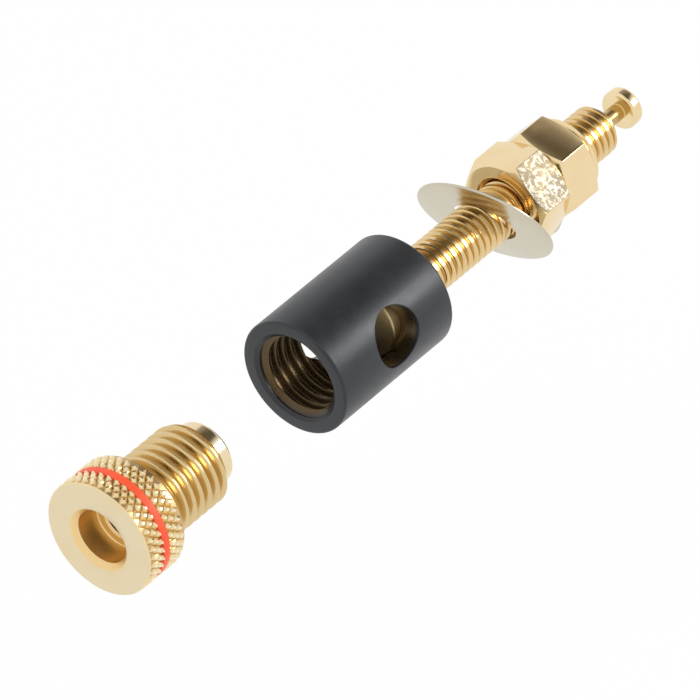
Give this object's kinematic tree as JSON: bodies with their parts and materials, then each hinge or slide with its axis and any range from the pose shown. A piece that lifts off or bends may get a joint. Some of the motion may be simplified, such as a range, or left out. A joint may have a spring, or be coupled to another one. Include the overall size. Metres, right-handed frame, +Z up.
{
  "type": "binding post",
  "caption": "Screw-down terminal post: black cross-drilled body on a threaded stud, knurled gold clamp screw with plug socket, leaning washer and hex nuts.",
  "frame": {"origin": "centre of the black body's back face, which seats on the panel", "axes": "+Y runs along the stud away from the body, the clamp screw lies towards -Y, the wire hole runs along X, +Z is up"},
  "size_m": [0.0156, 0.0906, 0.0136],
  "materials": {
    "black_body": "satin black, finely grained, with a dark glossy thread inside",
    "gold_stud": "polished gold plate with turned threads",
    "gold_clamp_screw": "gold plate: satin turned face, sparkling knurl, polished nose",
    "red_ring": "satin red",
    "pale_washer": "pale polished plate",
    "gold_nut": "polished gold plate, one flat scuffed"
  },
  "bodies": {
    "post": {"terminal_body": "black_body", "stud": "gold_stud"},
    "ring": {"marking_ring": "red_ring"},
    "clamp": {"clamp_screw": "gold_clamp_screw"},
    "washer": {"washer": "pale_washer"},
    "panel_nut": {"panel_nut": "gold_nut"},
    "terminal_nut": {"terminal_nut": "gold_nut"}
  },
  "joints": [
    {"name": "clamp_travel", "type": "slide", "parent": "post", "child": "ring", "axis": [0, 1, 0], "range_m": [0, 0.02625]},
    {"name": "clamp_turn", "type": "hinge", "parent": "ring", "child": "clamp", "pos_m": [0, -0.0508, 0], "axis": [0, 1, 0], "range_deg": [0, 7560.1]},
    {"name": "nut_travel", "type": "slide", "parent": "post", "child": "washer", "axis": [0, 1, 0], "range_m": [-0.01, 0.0122]},
    {"name": "nut_turn", "type": "hinge", "parent": "washer", "child": "panel_nut", "pos_m": [0, 0.0176, 0], "axis": [0, 1, 0], "range_deg": [-3600, 4392]},
    {"name": "terminal_nut_travel", "type": "slide", "parent": "panel_nut", "child": "terminal_nut", "axis": [0, 1, 0], "range_m": [0, 0.0122]}
  ],
  "couplings": [
    {"joint": "clamp_turn", "follows": "clamp_travel", "rad_per_m": 5026.5},
    {"joint": "nut_turn", "follows": "nut_travel", "rad_per_m": 6283.2}
  ]
}
